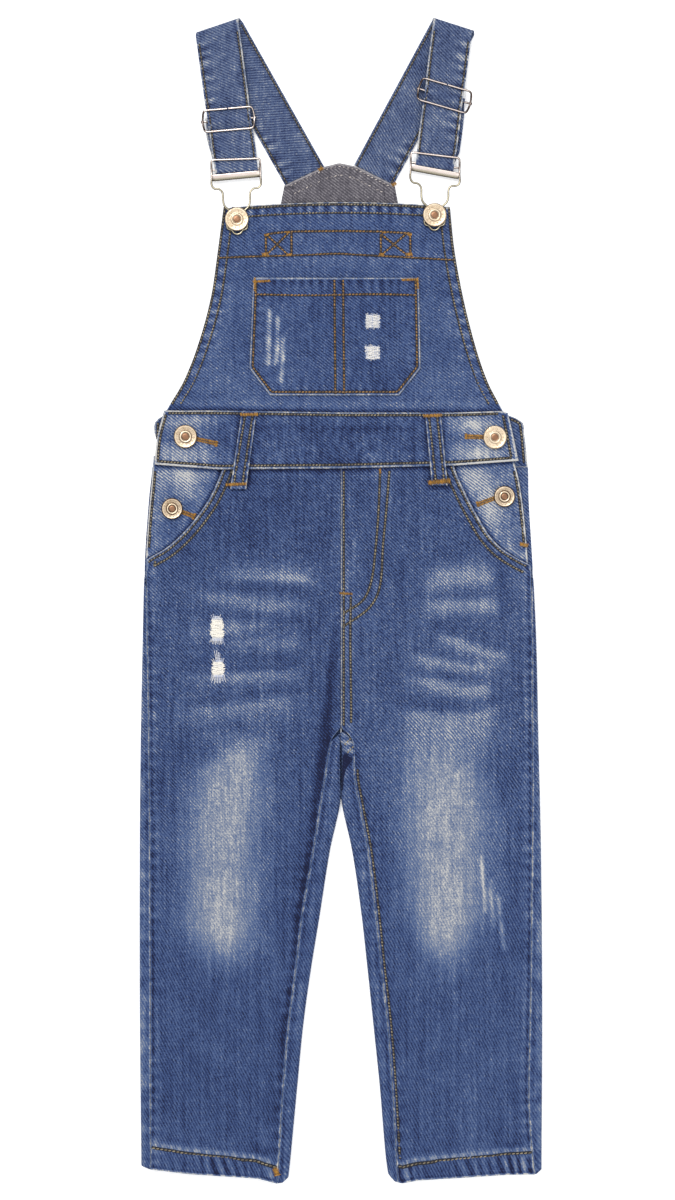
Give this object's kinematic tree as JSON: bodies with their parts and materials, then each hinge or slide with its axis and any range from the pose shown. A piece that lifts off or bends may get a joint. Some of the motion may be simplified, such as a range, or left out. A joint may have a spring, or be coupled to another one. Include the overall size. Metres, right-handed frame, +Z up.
{
  "type": "kids dungarees",
  "caption": "Small child's denim bib dungarees laid flat on their back, straps folded over at the shoulders and buckled to the bib, with patch pocket, scoop pockets and belt loops.",
  "frame": {"origin": "middle of the outline seen from above, on the surface the garment lies on", "axes": "+Y towards the shoulders, +X to the viewer's right, +Z up out of the front of the garment"},
  "size_m": [0.2891, 0.8378, 0.0099],
  "materials": {
    "denim": "washed indigo denim, 12 oz twill, worn at folds and seams",
    "denim_faded": "pale worn denim of the pocket facings",
    "denim_strap": "strap denim, a little paler, with worn edges",
    "denim_inside": "grey inside face of the denim",
    "hardware": "pale rose-silver plated wire, polished",
    "button_metal": "champagne gold with a copper centre, lightly worn"
  },
  "bodies": {
    "root": {"front_leg_left": "denim", "front_leg_right": "denim", "back_leg_left": "denim", "back_leg_right": "denim", "pocket_facing_left": "denim_faded", "pocket_facing_right": "denim_faded", "front_bib": "denim", "bib_pocket": "denim", "front_waistband": "denim", "back_waistband": "denim", "back_bib": "denim_inside", "belt_loop_left": "denim", "belt_loop_right": "denim", "strap_left": "denim_strap", "strap_right": "denim_strap", "slider_left": "hardware", "slider_right": "hardware", "buckle_left": "hardware", "buckle_right": "hardware", "button_bib_left": "button_metal", "button_bib_right": "button_metal", "button_waist_left": "button_metal", "button_waist_right": "button_metal", "button_side_left": "button_metal", "button_side_right": "button_metal"}
  },
  "joints": []
}
